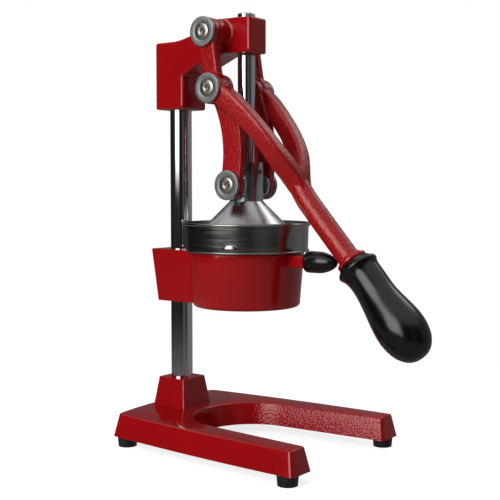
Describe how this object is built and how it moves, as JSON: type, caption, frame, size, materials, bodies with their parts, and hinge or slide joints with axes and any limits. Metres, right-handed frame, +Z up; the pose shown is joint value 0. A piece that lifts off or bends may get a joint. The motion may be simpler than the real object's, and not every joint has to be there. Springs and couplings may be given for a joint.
{
  "type": "citrus press juicer",
  "caption": "Hand citrus press: red cast base with a chromed column, a strainer cup in a bracket, and a fork lever whose toggle links push a bell down over a perforated cone.",
  "frame": {"origin": "on the floor, under the middle of the whole press with the lever at rest", "axes": "+Z up along the column and the rod, -Y to the front where the grip is, +X to the right when the press is seen from the front"},
  "size_m": [0.1854, 0.3152, 0.4242],
  "materials": {
    "red_enamel": "gloss",
    "chrome": "mirror",
    "stainless": "polished",
    "cast_aluminium": "polished casting",
    "zinc": "satin",
    "plain_steel": "plain",
    "black_rubber": "satin",
    "black_gloss": "gloss"
  },
  "bodies": {
    "frame": {"base_casting": "red_enamel", "foot_front_left": "black_rubber", "foot_front_right": "black_rubber", "foot_rear_left": "black_rubber", "foot_rear_right": "black_rubber", "foot_screws": "plain_steel", "column": "chrome", "column_washer": "plain_steel", "column_bolt": "plain_steel", "bowl_bracket": "red_enamel", "bracket_set_screws": "plain_steel", "bumper": "black_rubber", "bumper_stud": "plain_steel", "juice_funnel": "stainless", "strainer_cup": "stainless", "head_casting": "red_enamel", "head_set_screws": "plain_steel", "head_pivot_washers": "zinc", "head_pivot_bolts": "zinc"},
    "lever": {"lever_fork": "red_enamel", "elbow_washers": "zinc", "elbow_bolts": "zinc", "handle_grip": "black_gloss", "grip_screw": "plain_steel"},
    "plunger": {"press_bell": "cast_aluminium", "press_rod": "chrome", "rod_pin": "plain_steel", "bell_pivot_washers": "zinc", "bell_pivot_bolts": "zinc"},
    "links": {"link_left": "red_enamel", "link_right": "red_enamel", "elbow_nuts": "zinc"}
  },
  "joints": [
    {"name": "lever_swing", "type": "hinge", "parent": "frame", "child": "lever", "pos_m": [0, 0.0634, 0.4044], "axis": [-1, 0, 0], "range_deg": [0, 110]},
    {"name": "press_slide", "type": "slide", "parent": "frame", "child": "plunger", "axis": [0, 0, 1], "range_m": [0, 0.0837]},
    {"name": "link_swing", "type": "hinge", "parent": "plunger", "child": "links", "pos_m": [0, 0.0414, 0.2586], "axis": [1, 0, 0], "range_deg": [0, 24.2]}
  ],
  "couplings": [
    {"joint": "press_slide", "follows": "lever_swing", "m_per_rad": 0.043562},
    {"joint": "link_swing", "follows": "lever_swing", "ratio": 0.21937}
  ]
}
